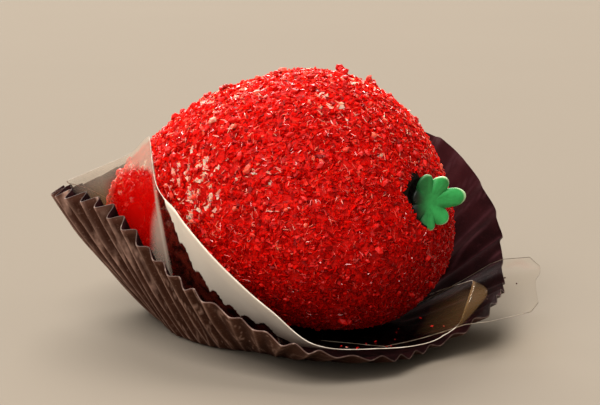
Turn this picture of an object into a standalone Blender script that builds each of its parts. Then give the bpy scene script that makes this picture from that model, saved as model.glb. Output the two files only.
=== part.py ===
"""A strawberry-shaped brigadeiro, lying in its pleated paper case on two clear liners.

The sweet is soft fudge rolled in coarse red sugar, with a gum-paste calyx pressed into its
blunt end. A strip and a square of clear film lie between it and the case. Metres, +Z up. The
origin is the middle of the case's flat bottom, on the surface that the case stands on.
"""

import math
import random

import bmesh
import bpy
from mathutils import Matrix, Vector, noise

MM = 0.001
UP = Vector((0, 0, 1))

# What lies on what, as thicknesses and the clearance between neighbours.
CASE_WALL = 0.30 * MM
LINER_WALL = 0.25 * MM
CLEARANCE = 0.32 * MM
STRIP_FLOOR = CASE_WALL + CLEARANCE + LINER_WALL / 2
SHEET_FLOOR = STRIP_FLOOR + LINER_WALL + CLEARANCE
SWEET_FLOOR = SHEET_FLOOR + LINER_WALL / 2 + CLEARANCE

# The sweet, lying on its side with its tip to the left and back.
SWEET_LENGTH = 35.6 * MM
SWEET_GIRTH = 24.6 * MM
SWEET_TAPER = 0.36
SWEET_CENTRE = Vector((0.2 * MM, -0.8 * MM, 13.0 * MM))
SWEET_TURN = math.radians(-28.5)
END_DROOP = 2.0 * MM
SLUMP_HEIGHT = 1.2 * MM
BELLY = 0.04
BELLY_LEVEL = 7 * MM
LUMPS = 0.35 * MM
LUMP_SIZE = 9 * MM

# The sugar crystals that are large enough to be shape.
GRAINS = 170
GRAIN_LOW = 0.35 * MM
GRAIN_HIGH = 0.75 * MM
GRAIN_SUNK = 0.25
GRAIN_LOWEST = 5.5 * MM
CROWDED_BELOW = 17 * MM
CROWDED_LEFT_OF = -8 * MM
GOLDEN_ANGLE = math.pi * (3 - math.sqrt(5))

# The calyx, a star pressed into a hollow so that one side stands proud. Its lobes are given as
# degrees and reach in millimetres.
CALYX_LOBES = ((8, 3.8), (51, 3.0), (100, 2.9), (150, 2.1), (207, 2.1), (265, 2.6), (314, 2.7))
CALYX_HEART = 1.7 * MM
LOBE_WIDTH = 1.6 * MM
CALYX_THICKNESS = 0.75 * MM
CALYX_CUP = 0.8 * MM
CALYX_CENTRE = Vector((15.6 * MM, -10.9 * MM, 14.3 * MM))
CALYX_FACING = Vector((0.55, -0.83, 0.06)).normalized()
HOLLOW_RADIUS = 3.5 * MM

# Round the case: degrees, foot radius, rim radius, rim height and pleat depth, in millimetres.
# It stands at the left and back and is pressed open in front, where its pleats are drawn out.
CASE_RING = (
    (0, 13.0, 23.3, 4.2, 0.28),
    (12, 12.0, 24.0, 7.0, 0.28),
    (26, 11.0, 24.7, 11.2, 0.28),
    (46, 10.0, 24.7, 16.0, 0.32),
    (90, 10.5, 20.6, 16.0, 0.60),
    (125, 12.4, 21.2, 14.4, 0.60),
    (150, 13.4, 22.2, 12.1, 0.55),
    (172, 11.2, 21.6, 12.9, 0.70),
    (190, 9.8, 20.2, 13.8, 0.70),
    (206, 10.3, 18.3, 13.8, 0.75),
    (222, 10.5, 17.7, 11.9, 0.65),
    (248, 11.3, 19.3, 7.5, 0.50),
    (264, 11.8, 21.6, 5.3, 0.42),
    (278, 14.0, 24.6, 3.4, 0.34),
    (296, 16.6, 24.2, 1.9, 0.28),
    (308, 16.9, 23.6, 1.6, 0.26),
    (322, 16.4, 23.8, 2.6, 0.26),
    (342, 15.0, 23.3, 4.2, 0.28),
)
PLEATS = 50
PLEAT_CROWDING = 6
CROWDED_AT = math.radians(265)
CASE_BEND = 1.16
# Between these degrees, in front on the right, the wall is cut short by this share.
CUT_FROM, CUT_TO = 298, 332
CUT_SHORT = 0.27

# The square liner: degrees, foot radius, rim radius and rim height, in millimetres. Its front
# left corner stands up beside the sweet's tip and its front edge lies low.
SHEET_RING = (
    (0, 10.5, 15.4, 1.6),
    (24, 9.5, 13.2, 1.3),
    (60, 9.0, 11.4, 1.1),
    (100, 9.2, 11.8, 1.3),
    (130, 10.0, 14.4, 3.6),
    (155, 11.2, 19.5, 10.4),
    (178, 8.2, 20.1, 13.0),
    (190, 8.6, 18.6, 14.4),
    (203, 9.7, 16.9, 16.1),
    (212, 10.0, 15.4, 17.5),
    (219.2, 10.2, 14.55, 19.2),
    (220.6, 10.2, 14.65, 17.9),
    (225, 10.2, 14.95, 14.8),
    (236, 10.0, 15.4, 12.6),
    (256, 10.4, 17.6, 8.4),
    (271, 12.0, 20.4, 4.9),
    (281, 14.0, 22.2, 2.1),
    (296, 15.5, 23.2, 1.45),
    (308, 15.2, 24.4, 1.65),
    (316, 14.5, 24.1, 2.6),
    (323, 14.3, 22.8, 4.1),
    (330, 14.0, 21.5, 4.8),
    (338, 13.0, 20.5, 4.9),
    (348, 12.0, 18.6, 3.6),
)
SHEET_BEND = 1.5
# Between these degrees its front right corner has curled, out and up and back in.
CURL_FROM, CURL_TO = 312, 352
CURL_OUT = 3.7 * MM
CURL_UP = 0.7 * MM

# The strip liner, which lies on the case's floor and sticks out over its rim on the right.
STRIP_START = 6.0 * MM
STRIP_END = 28.0 * MM
STRIP_WIDTH = 18.6 * MM
STRIP_TURN = math.radians(-6)
STRIP_ASIDE = -4.55 * MM
STRIP_CORNER = 0.9 * MM
STRIP_TAIL = 0.5
STRIP_OVERHANG_SLOPE = 0.45


# --- Placing and shaping -----------------------------------------------------------------------


def around(ring, angle):
    """The values at an angle, read as one smooth closed curve through a ring of stations."""
    degrees = math.degrees(angle) % 360
    count = len(ring)
    last = max(i for i in range(count) if ring[i][0] <= degrees + 1e-9)
    spots = [ring[(last + k) % count] for k in (-1, 0, 1, 2)]
    turns = [360 * ((last + k) // count) for k in (-1, 0, 1, 2)]
    a, b, c, d = (spot[0] + turn for spot, turn in zip(spots, turns))
    t = (degrees - b) / (c - b)
    values = []
    for before, here, there, after in list(zip(*spots))[1:]:
        leave = (there - before) / (c - a) * (c - b)
        arrive = (after - here) / (d - b) * (c - b)
        near = (2 * t**3 - 3 * t**2 + 1) * here + (t**3 - 2 * t**2 + t) * leave
        far = (3 * t**2 - 2 * t**3) * there + (t**3 - t**2) * arrive
        values.append((near + far) * MM)
    return values


def polar(angle, radius, height):
    return Vector((radius * math.cos(angle), radius * math.sin(angle), height))


def named_object(name, mesh, collection):
    """A new object of a bmesh, which is freed."""
    data = bpy.data.meshes.new(name)
    mesh.to_mesh(data)
    mesh.free()
    obj = bpy.data.objects.new(name, data)
    collection.objects.link(obj)
    return obj


def spun_blank(radii, steps):
    """A flat disc with a ring of points at each radius, spun from a line that starts at its centre."""
    mesh = bmesh.new()
    line = [mesh.verts.new((radius, 0, 0)) for radius in radii]
    for start, end in zip(line, line[1:]):
        mesh.edges.new((start, end))
    bmesh.ops.spin(
        mesh,
        geom=mesh.verts[:] + mesh.edges[:],
        cent=(0, 0, 0),
        axis=UP,
        angle=2 * math.pi,
        steps=steps,
        use_merge=True,
    )
    bmesh.ops.remove_doubles(mesh, verts=mesh.verts[:], dist=1e-6)
    bmesh.ops.recalc_face_normals(mesh, faces=mesh.faces[:])
    return mesh


def thicken(obj, thickness):
    """Gives an open sheet its thickness, half to each side."""
    solid = obj.modifiers.new("thickness", "SOLIDIFY")
    solid.thickness = thickness
    solid.offset = 0


def applied(obj):
    """Makes what the modifiers give the object's own mesh."""
    graph = bpy.context.evaluated_depsgraph_get()
    result = bpy.data.meshes.new_from_object(obj.evaluated_get(graph))
    obj.modifiers.clear()
    obj.data = result
    return obj


def finish(obj, colour, roughness, sharp=40, alpha=1.0):
    """The object's own material, and smooth shading with sharp edges past an angle."""
    material = bpy.data.materials.new(obj.name)
    material.use_nodes = True
    shader = material.node_tree.nodes["Principled BSDF"]
    shader.inputs["Base Color"].default_value = (*colour, 1)
    shader.inputs["Roughness"].default_value = roughness
    shader.inputs["Metallic"].default_value = 0
    shader.inputs["Alpha"].default_value = alpha
    obj.data.materials.clear()
    obj.data.materials.append(material)
    obj.data.shade_smooth()
    obj.data.set_sharp_from_angle(angle=math.radians(sharp))


# --- The paper case ----------------------------------------------------------------------------


def case_profile(angle, distance):
    """Where the unpleated case lies at a distance along it from its centre, as radius, height
    and the slope there. Past the rim it goes on less steeply."""
    foot, rim, height, _ = around(CASE_RING, angle)
    wall = math.hypot(rim - foot, height)
    share = (distance - foot) / wall
    if share <= 0:
        return distance, 0.0, 0.0
    bent = min(share, 1)
    rise = height * (bent**CASE_BEND + STRIP_OVERHANG_SLOPE * (share - bent))
    slope = math.atan2(height * CASE_BEND * bent ** (CASE_BEND - 1), rim - foot)
    return foot + (rim - foot) * share, rise, slope


def hump(value, start, end):
    """0 outside start and end, and 1 midway."""
    return math.sin(math.pi * min(1, max(0, (value - start) / (end - start))))


def pushed(angle):
    """Where a fold that was pressed at an angle lies now: the folds crowd at the front left."""
    now = angle
    for _ in range(6):
        now = angle - PLEAT_CROWDING / PLEATS * math.sin(now - CROWDED_AT)
    return now


def pleated(pressed_at, share):
    """A point of the case. Share is 0 at the centre, 1 at the foot of the wall and 2 at the rim."""
    angle = pushed(pressed_at)
    foot, rim, height, depth = around(CASE_RING, angle)
    if share <= 1:
        return polar(angle, foot * share, CASE_WALL / 2)
    climb = (share - 1) * (1 - CUT_SHORT * hump(math.degrees(angle) % 360, CUT_FROM, CUT_TO))
    radius, rise, slope = case_profile(angle, foot + climb * math.hypot(rim - foot, height))
    swell = depth * min(1, 0.25 + climb) * math.cos(PLEATS * pressed_at)
    radius += swell * math.sin(slope)
    rise -= swell * math.cos(slope)
    return polar(angle, radius, CASE_WALL / 2 + max(rise, 0))


def make_case(collection):
    rings = (0, 0.55, 1, 1.14, 1.4, 1.7, 2)
    blank = spun_blank(rings, PLEATS * 4)
    for vert in blank.verts:
        share = vert.co.length
        vert.co = pleated(math.atan2(vert.co.y, vert.co.x), share)
    case = named_object("paper_case", blank, collection)
    thicken(case, CASE_WALL)
    finish(case, (0.075, 0.03, 0.024), 0.55, sharp=60)
    return case


# --- The clear liners --------------------------------------------------------------------------


def make_strip(collection):
    """A strip that lies on the case's floor and walls, a pleat's depth in from them."""
    blank = bmesh.new()
    bmesh.ops.create_grid(blank, x_segments=16, y_segments=8, size=1)
    for vert in blank.verts:
        along, across = (vert.co.x + 1) / 2, vert.co.y
        corner = STRIP_CORNER * max(0, abs(across) - 0.8) / 0.2
        x = STRIP_START + (STRIP_END - corner - STRIP_START) * along
        half = STRIP_WIDTH / 2 * (STRIP_TAIL + (1 - STRIP_TAIL) * min(1, 1.25 * along))
        y = STRIP_ASIDE + across * half
        flat = Matrix.Rotation(STRIP_TURN, 3, "Z") @ Vector((x, y, 0))
        angle = math.atan2(flat.y, flat.x)
        radius, rise, slope = case_profile(angle, flat.length)
        depth = around(CASE_RING, angle)[3] * min(1, slope * 3)
        inward = depth * 1.15
        vert.co = polar(angle, radius - inward * math.sin(slope), rise + inward * math.cos(slope))
        vert.co.z += STRIP_FLOOR
    strip = named_object("liner_strip", blank, collection)
    thicken(strip, LINER_WALL)
    finish(strip, (0.9, 0.9, 0.88), 0.08, alpha=0.3)
    return strip


def make_sheet(collection):
    """The square liner, formed round the sweet from a spun blank."""
    rings = (0, 0.5, 1, 1.15, 1.4, 1.6, 1.8, 2)
    blank = spun_blank(rings, 76)
    for vert in blank.verts:
        share = vert.co.length
        angle = math.atan2(vert.co.y, vert.co.x)
        foot, rim, height = around(SHEET_RING, angle)
        climb = max(0, share - 1)
        radius = foot * min(share, 1) + (rim - foot) * climb
        curl = hump(math.degrees(angle) % 360, CURL_FROM, CURL_TO) ** 0.7
        radius += curl * CURL_OUT * hump(climb, 0.55, 1.03)
        rise = height * climb**SHEET_BEND + curl * CURL_UP * hump(climb, 0.3, 1)
        vert.co = polar(angle, radius, SHEET_FLOOR + rise)
    sheet = named_object("liner_sheet", blank, collection)
    thicken(sheet, LINER_WALL)
    finish(sheet, (0.9, 0.9, 0.88), 0.08, alpha=0.3)
    return sheet


# --- The sweet ---------------------------------------------------------------------------------


def sweet_frame():
    """Turns the sweet's own frame, whose +X runs from its tip to its blunt end, into place."""
    return Matrix.Translation(SWEET_CENTRE) @ Matrix.Rotation(SWEET_TURN, 4, "Z")


def sweet_point(direction):
    """The point of the fudge that lies in a direction, a unit vector of the sweet's own frame."""
    along = direction.x
    across = direction.yz
    girth = SWEET_GIRTH / 2 * (1 + SWEET_TAPER * along)
    drop = END_DROOP * along**2
    own = Vector((along * SWEET_LENGTH / 2, across.x * girth, across.y * girth - drop))
    point = sweet_frame() @ own
    outward = (point - SWEET_CENTRE).normalized()
    point += outward * LUMPS * noise.noise(point / LUMP_SIZE)
    lift = point.z - SWEET_FLOOR
    point.z = SWEET_FLOOR + (lift + math.hypot(lift, SLUMP_HEIGHT)) / 2
    spread = 1 + BELLY * math.exp(-(((lift - BELLY_LEVEL) / BELLY_LEVEL) ** 2))
    point.x = SWEET_CENTRE.x + (point.x - SWEET_CENTRE.x) * spread
    point.y = SWEET_CENTRE.y + (point.y - SWEET_CENTRE.y) * spread
    return point


def calyx_frame():
    """Places the calyx: its own +Z faces out of the sweet and its +X to the right."""
    right = UP.cross(CALYX_FACING).normalized()
    top = CALYX_FACING.cross(right)
    turn = Matrix((right, top, CALYX_FACING)).transposed().to_4x4()
    return Matrix.Translation(CALYX_CENTRE) @ turn


def make_hollow(collection):
    """The cutter of the hollow that the calyx is pressed into."""
    depth = CALYX_CUP + CALYX_THICKNESS / 2 + CLEARANCE
    reach = 12 * MM
    mesh = bmesh.new()
    bmesh.ops.create_cone(
        mesh,
        cap_ends=True,
        segments=28,
        radius1=HOLLOW_RADIUS - 0.3 * MM,
        radius2=HOLLOW_RADIUS,
        depth=reach + depth,
        matrix=calyx_frame() @ Matrix.Translation((0, 0, (reach - depth) / 2)),
    )
    cutter = named_object("hollow_cutter", mesh, collection)
    cutter.display_type = "WIRE"
    cutter.hide_render = True
    return cutter


def make_grain(index, point, outward, chance, collection):
    """One blocky sugar crystal, sunk a little in the fudge."""
    size = chance.uniform(GRAIN_LOW, GRAIN_HIGH)
    stretch = chance.choice((1.0, 1.0, 1.2, 1.7))
    spin = Matrix.Rotation(chance.uniform(0, math.tau), 4, "Z")
    tip = Matrix.Rotation(chance.uniform(-0.5, 0.5), 4, "X")
    aim = outward.to_track_quat("Z", "Y").to_matrix().to_4x4()
    shape = Matrix.Diagonal((size * stretch, size * 0.8, size, 1))
    place = Matrix.Translation(point + outward * size * (0.5 - GRAIN_SUNK)) @ aim @ spin @ tip @ shape
    mesh = bmesh.new()
    bmesh.ops.create_cone(
        mesh, cap_ends=True, segments=5, radius1=0.75, radius2=0.5, depth=1, matrix=place
    )
    return named_object(f"grain_{index}", mesh, collection)


def grain_spots(chance):
    """Points spread evenly over the fudge, each with its outward direction. They keep clear of
    the calyx's hollow, the floor and the tip's side that the liner closes round."""
    for i in range(GRAINS):
        along = 1 - (2 * i + 1) / GRAINS
        angle = i * GOLDEN_ANGLE + chance.uniform(-0.2, 0.2)
        round_it = math.sqrt(1 - along**2)
        direction = Vector((along, round_it * math.cos(angle), round_it * math.sin(angle)))
        point = sweet_point(direction)
        step = 0.02
        side = direction.orthogonal().normalized()
        other = direction.cross(side)
        to_side = sweet_point((direction + side * step).normalized()) - point
        to_other = sweet_point((direction + other * step).normalized()) - point
        outward = to_side.cross(to_other).normalized()
        clear = (point - CALYX_CENTRE).length > HOLLOW_RADIUS + 2 * GRAIN_HIGH
        crowded = point.x < CROWDED_LEFT_OF and point.z < CROWDED_BELOW
        if point.z > GRAIN_LOWEST and clear and not crowded:
            yield point, outward


def make_sweet(collection, tools):
    mesh = bmesh.new()
    bmesh.ops.create_uvsphere(mesh, u_segments=40, v_segments=24, radius=1)
    lay_down = Matrix.Rotation(math.pi / 2, 3, "Y")
    for vert in mesh.verts:
        vert.co = sweet_point((lay_down @ vert.co).normalized())
    sweet = named_object("sweet", mesh, collection)

    cut = sweet.modifiers.new("hollow", "BOOLEAN")
    cut.operation = "DIFFERENCE"
    cut.object = make_hollow(tools)
    cut.solver = "EXACT"

    grains = bpy.data.collections.new("grains")
    bpy.context.scene.collection.children.link(grains)
    chance = random.Random(7)
    for index, (point, outward) in enumerate(grain_spots(chance)):
        make_grain(index, point, outward, chance, grains)
    join = sweet.modifiers.new("sugar", "BOOLEAN")
    join.operation = "UNION"
    join.operand_type = "COLLECTION"
    join.collection = grains
    join.solver = "MANIFOLD"
    applied(sweet)
    for grain in list(grains.objects):
        bpy.data.objects.remove(grain)
    bpy.data.collections.remove(grains)

    finish(sweet, (0.62, 0.006, 0.004), 0.3, sharp=25)
    return sweet


# --- The calyx ---------------------------------------------------------------------------------


def lobe_reach(angle):
    """How far the calyx reaches at an angle: the farthest of its round-ended lobes."""
    half = LOBE_WIDTH / 2
    reach = CALYX_HEART
    for degrees, length in CALYX_LOBES:
        off = abs((math.degrees(angle) - degrees + 180) % 360 - 180)
        straight = length * MM - half
        if off >= 90:
            continue
        aside = math.sin(math.radians(off))
        if math.tan(math.radians(off)) > half / straight:
            out = half / aside
        else:
            out = straight * math.cos(math.radians(off)) + math.sqrt(half**2 - (straight * aside) ** 2)
        reach = max(reach, out)
    return reach


def make_calyx(collection):
    rings = (0, 0.45, 0.75, 1)
    blank = spun_blank(rings, 84)
    for vert in blank.verts:
        share = vert.co.length
        angle = math.atan2(vert.co.y, vert.co.x)
        radius = share * (CALYX_HEART + (lobe_reach(angle) - CALYX_HEART) * share)
        cup = CALYX_CUP * ((radius / (1.8 * CALYX_HEART)) ** 2 - 1)
        vert.co = polar(angle, radius, cup)
    blank.transform(calyx_frame())
    calyx = named_object("calyx", blank, collection)
    thicken(calyx, CALYX_THICKNESS)
    finish(calyx, (0.03, 0.36, 0.08), 0.5, sharp=50)
    return calyx


def main():
    for obj in list(bpy.data.objects):
        bpy.data.objects.remove(obj)
    parts = bpy.data.collections.new("brigadeiro")
    tools = bpy.data.collections.new("cutters")
    for collection in (parts, tools):
        bpy.context.scene.collection.children.link(collection)
    make_case(parts)
    make_strip(parts)
    make_sheet(parts)
    make_sweet(parts, tools)
    make_calyx(parts)


main()
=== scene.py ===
import math
import random

import bmesh
import bpy
import numpy as np
from mathutils import Matrix, Vector, noise


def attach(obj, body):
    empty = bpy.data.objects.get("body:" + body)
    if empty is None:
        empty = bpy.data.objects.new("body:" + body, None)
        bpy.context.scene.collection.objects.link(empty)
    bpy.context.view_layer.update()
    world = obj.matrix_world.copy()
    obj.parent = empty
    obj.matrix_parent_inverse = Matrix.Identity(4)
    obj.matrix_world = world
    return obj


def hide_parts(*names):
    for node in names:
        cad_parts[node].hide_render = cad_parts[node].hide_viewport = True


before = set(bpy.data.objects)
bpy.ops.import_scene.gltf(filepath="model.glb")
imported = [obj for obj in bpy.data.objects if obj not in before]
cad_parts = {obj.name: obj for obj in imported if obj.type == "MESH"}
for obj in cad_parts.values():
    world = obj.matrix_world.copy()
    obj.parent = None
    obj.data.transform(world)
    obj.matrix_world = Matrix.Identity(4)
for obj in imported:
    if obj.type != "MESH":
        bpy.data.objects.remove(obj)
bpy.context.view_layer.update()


# --- Paper case ----------------------------------------------------------------------------------
# A disc of dark brown greaseproof paper, pressed between heated dies into fifty pleats round a
# flat bottom. The back and the left still stand as they were pressed, and in front and on the
# right the wall is opened out, with its pleats drawn nearly flat.

MM = 0.001
PLEATS = 50
POINTS_TO_A_PLEAT = 14
# How far the folds are pushed towards the angle where they crowd, in radians of their wave.
PLEAT_CROWDING = 6
CROWDED_AT = math.radians(265)
PAPER_THICKNESS = 0.12 * MM
CASE_FLOOR = 0.15 * MM
CASE_BEND = 1.16
CASE_OVERHANG_SLOPE = 0.45
FOLD_ROUNDING = 1.35
CRINKLE_DEPTH = 0.05 * MM
CRINKLE_SIZE = 1.3 * MM
# Degrees, foot radius, rim radius, rim height and pleat depth, in millimetres.
CASE_RING = (
    (0, 13.0, 23.3, 4.2, 0.28),
    (12, 12.0, 24.0, 7.0, 0.28),
    (26, 11.0, 24.7, 11.2, 0.28),
    (46, 10.0, 24.7, 16.0, 0.32),
    (90, 10.5, 20.6, 16.0, 0.60),
    (125, 12.4, 21.2, 14.4, 0.60),
    (150, 13.4, 22.2, 12.1, 0.55),
    (172, 11.2, 21.6, 12.9, 0.70),
    (190, 9.8, 20.2, 13.8, 0.70),
    (206, 10.3, 18.3, 13.8, 0.75),
    (222, 10.5, 17.7, 11.9, 0.65),
    (248, 11.3, 19.3, 7.5, 0.50),
    (264, 11.8, 21.6, 5.3, 0.42),
    (278, 14.0, 24.6, 3.4, 0.34),
    (296, 16.6, 24.2, 1.9, 0.28),
    (308, 16.9, 23.6, 1.6, 0.26),
    (322, 16.4, 23.8, 2.6, 0.26),
    (342, 15.0, 23.3, 4.2, 0.28),
)
# Between these degrees, in front on the right, the wall is cut short by this share.
CUT_FROM, CUT_TO = 298, 332
CUT_SHORT = 0.27
# Between these degrees, in front on the left, the pleats are pressed flatter by this share.
FLATTER_FROM, FLATTER_TO = 205, 300
FLATTER = 0.35
# Between these degrees the paper also has creases that slant across its pleats.
CREASED_FROM, CREASED_TO = 200, 310
# Between these degrees the paper is painted darker as shade: in front, on the left and on the
# right.
SHADE_IN_FRONT = (272, 350)
SHADE_AT_LEFT = (110, 256)
SHADE_AT_RIGHT = (-40, 38)


def degrees_of(angle):
    """An angle in degrees, from 0 to 360."""
    return math.degrees(angle) % 360


def clamp(value):
    """The value, kept from 0 to 1."""
    return min(1, max(0, value))


def around(ring, angle):
    """The values at an angle, read as one smooth closed curve through a ring of stations."""
    degrees = degrees_of(angle)
    count = len(ring)
    last = max(i for i in range(count) if ring[i][0] <= degrees + 1e-9)
    spots = [ring[(last + k) % count] for k in (-1, 0, 1, 2)]
    turns = [360 * ((last + k) // count) for k in (-1, 0, 1, 2)]
    a, b, c, d = (spot[0] + turn for spot, turn in zip(spots, turns))
    t = (degrees - b) / (c - b)
    values = []
    for before, here, there, after in list(zip(*spots))[1:]:
        leave = (there - before) / (c - a) * (c - b)
        arrive = (after - here) / (d - b) * (c - b)
        near = (2 * t**3 - 3 * t**2 + 1) * here + (t**3 - 2 * t**2 + t) * leave
        far = (3 * t**2 - 2 * t**3) * there + (t**3 - t**2) * arrive
        values.append((near + far) * MM)
    return values


def polar(angle, radius, height):
    """The point at an angle, a radius and a height."""
    return Vector((radius * math.cos(angle), radius * math.sin(angle), height))


def case_wall(angle, distance):
    """Where the unpleated wall lies at a distance from the case's centre: radius, height, slope."""
    foot, rim, height, _ = around(CASE_RING, angle)
    share = (distance - foot) / math.hypot(rim - foot, height)
    if share <= 0:
        return distance, 0.0, 0.0
    bent = min(share, 1)
    rise = height * (bent**CASE_BEND + CASE_OVERHANG_SLOPE * (share - bent))
    slope = math.atan2(height * CASE_BEND * bent ** (CASE_BEND - 1), rim - foot)
    return foot + (rim - foot) * share, rise, slope


def hump(value, start, end):
    """0 outside start and end, and 1 midway."""
    return math.sin(math.pi * clamp((value - start) / (end - start)))


def rising(value, start, width):
    """0 up to start, and 1 from a width past it."""
    return clamp((value - start) / width)


def pushed(angle):
    """Where a fold that was pressed at an angle lies now: the folds crowd at the front left."""
    now = angle
    for _ in range(6):
        now = angle - PLEAT_CROWDING / PLEATS * math.sin(now - CROWDED_AT)
    return now


def fold_wave(pressed_at):
    """The folds' zigzag, from -1 in a valley to 1 on a ridge."""
    return math.asin(math.cos(PLEATS * pressed_at)) * 2 / math.pi


def rubbed(pressed_at, share):
    """How pale the paper is, from 0 to 1: along its ridges and some stray creases, from scuffing
    and painted highlight.
    """
    patch = noise.noise(polar(pressed_at, 9 + 3 * share, share * 2))
    wander = 0.03 * math.sin(9 * pressed_at) + 0.045 * math.sin(4 * pressed_at + 5 * share)
    ridge = rising(fold_wave(pressed_at), 0.66, 0.26) * (0.75 + 0.5 * patch)
    stray = rising(fold_wave(pressed_at + wander), 0.72, 0.22)
    stray *= 0.9 * clamp(0.7 + 2 * patch)
    slanting = rising(fold_wave(0.5 * pressed_at + 0.08 * share + 0.08 * patch), 0.88, 0.08)
    slanting *= 0.9 * clamp(0.9 - 2 * patch)
    slanting *= hump(degrees_of(pressed_at), CREASED_FROM, CREASED_TO) ** 0.5
    on_wall = clamp((share - 0.9) * 6)
    return min(1, max(ridge, stray, slanting)) * on_wall


def case_point(pressed_at, share):
    """A point of the paper. Share is 0 at the centre, 1 at the foot of the wall, 2 at the rim."""
    angle = pushed(pressed_at)
    foot, rim, height, depth = around(CASE_RING, angle)
    if share <= 1:
        return polar(angle, foot * share, CASE_FLOOR)
    climb = (share - 1) * (1 - CUT_SHORT * hump(degrees_of(angle), CUT_FROM, CUT_TO))
    angle += 0.012 * climb * math.sin(11 * angle + 0.6) + 0.006 * math.sin(23 * angle + 4 * climb)
    radius, rise, slope = case_wall(angle, foot + climb * math.hypot(rim - foot, height))
    uneven = 1 + 0.16 * math.sin(13 * angle + 2.1) + 0.1 * math.sin(29 * angle)
    uneven += 0.5 * noise.noise(polar(pressed_at, 8, 2 * share))
    uneven *= 1 - FLATTER * hump(degrees_of(angle), FLATTER_FROM, FLATTER_TO)
    rounded = math.sin(fold_wave(pressed_at) * FOLD_ROUNDING) / math.sin(FOLD_ROUNDING)
    swell = depth * uneven * min(1, 0.25 + climb) * rounded
    radius += swell * math.sin(slope)
    rise -= swell * math.cos(slope)
    crinkle = CRINKLE_DEPTH * climb * noise.noise(polar(angle, radius, rise) / CRINKLE_SIZE)
    return polar(angle, radius + crinkle, CASE_FLOOR + max(rise, 0))


def spun_blank(radii, steps):
    """A flat disc, spun from a line of points that starts at its centre."""
    mesh = bmesh.new()
    line = [mesh.verts.new((radius, 0, 0)) for radius in radii]
    for start, end in zip(line, line[1:]):
        mesh.edges.new((start, end))
    bmesh.ops.spin(
        mesh,
        geom=mesh.verts[:] + mesh.edges[:],
        cent=(0, 0, 0),
        axis=(0, 0, 1),
        angle=2 * math.pi,
        steps=steps,
        use_merge=True,
    )
    bmesh.ops.remove_doubles(mesh, verts=mesh.verts[:], dist=1e-6)
    bmesh.ops.recalc_face_normals(mesh, faces=mesh.faces[:])
    return mesh


def steps_between(start, end, count):
    """Evenly spaced values from start to end."""
    return [start + (end - start) * i / count for i in range(count + 1)]


def piece_of(name, mesh, nodes, sharp=60):
    """A finished piece that rides with the sweet: its object, body and replaced nodes."""
    data = bpy.data.meshes.new(name)
    mesh.to_mesh(data)
    mesh.free()
    piece = bpy.data.objects.new(name, data)
    bpy.context.scene.collection.objects.link(piece)
    data.shade_smooth()
    data.set_sharp_from_angle(angle=math.radians(sharp))
    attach(piece, "root")
    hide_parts(*nodes)
    return piece


def thicken(piece, thickness, inner_slot=0, edge_slot=0):
    """Gives a sheet its thickness, with its inner side and cut edge in slots of their own."""
    solid = piece.modifiers.new("thickness", "SOLIDIFY")
    solid.thickness = thickness
    solid.offset = 0
    solid.material_offset = inner_slot
    solid.material_offset_rim = edge_slot


class Wire:
    """An output of a shader node. Sums and products of wires add their own Math nodes."""

    def __init__(self, finish, socket):
        self.finish = finish
        self.socket = socket

    def math(self, operation, *values):
        return self.finish.node("ShaderNodeMath", {"operation": operation}, dict(enumerate(values)))

    def __add__(self, other):
        return self.math("ADD", self, other)

    __radd__ = __add__

    def __mul__(self, other):
        return self.math("MULTIPLY", self, other)

    __rmul__ = __mul__

    def __pow__(self, other):
        return self.math("POWER", self, other)

    def between(self, low, high):
        """Rises from 0 at low to 1 at high, and stays there."""
        settings = {"interpolation_type": "SMOOTHSTEP"}
        return self.finish.node("ShaderNodeMapRange", settings, {0: self, 1: low, 2: high})


class Finish:
    """A material: its Principled shader and the nodes that feed it."""

    def __init__(self, name, **sockets):
        self.material = bpy.data.materials.new(name)
        self.material.use_nodes = True
        self.tree = self.material.node_tree
        self.shader = self.tree.nodes["Principled BSDF"]
        self.output = self.tree.nodes["Material Output"]
        for key, value in sockets.items():
            self.feed(self.shader.inputs[key.replace("_", " ")], value)

    def feed(self, socket, value):
        if isinstance(value, Wire):
            self.tree.links.new(value.socket, socket)
        else:
            socket.default_value = value

    def node(self, kind, settings=None, inputs=None, output=0):
        """A new node of a kind. Its settings are set first, then its sockets, then one output."""
        node = self.tree.nodes.new(kind)
        for key, value in (settings or {}).items():
            if key == "stops":
                ramp = node.color_ramp.elements
                while len(ramp) < len(value):
                    ramp.new(1)
                for stop, (position, colour) in zip(ramp, value):
                    stop.position = position
                    stop.color = (*colour, 1)
            else:
                setattr(node, key, value)
        for key, value in (inputs or {}).items():
            self.feed(node.inputs[key], value)
        return Wire(self, node.outputs[output])

    def marked(self, attribute):
        """The value that the mesh's points carry under a name."""
        return self.node("ShaderNodeAttribute", {"attribute_name": attribute}, output=2)

    def speckle(self, size, detail=2.0):
        """Noise of a grain size, in metres, fixed to the piece."""
        place = self.node("ShaderNodeTexCoord", output=3)
        inputs = {"Vector": place, "Scale": 1 / size, "Detail": detail, "Roughness": 0.6}
        return self.node("ShaderNodeTexNoise", inputs=inputs)

    def blend(self, share, first, second):
        """A colour between two, each a wire or a triple."""
        first, second = ((*c, 1) if isinstance(c, tuple) else c for c in (first, second))
        return self.node("ShaderNodeMix", {"data_type": "RGBA"}, {0: share, 6: first, 7: second}, 2)

    def relief(self, height, depth):
        """Bumps of a depth in metres, for the shader's Normal."""
        bump = self.node("ShaderNodeBump", inputs={"Height": height, "Distance": depth})
        self.feed(self.shader.inputs["Normal"], bump)


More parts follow.
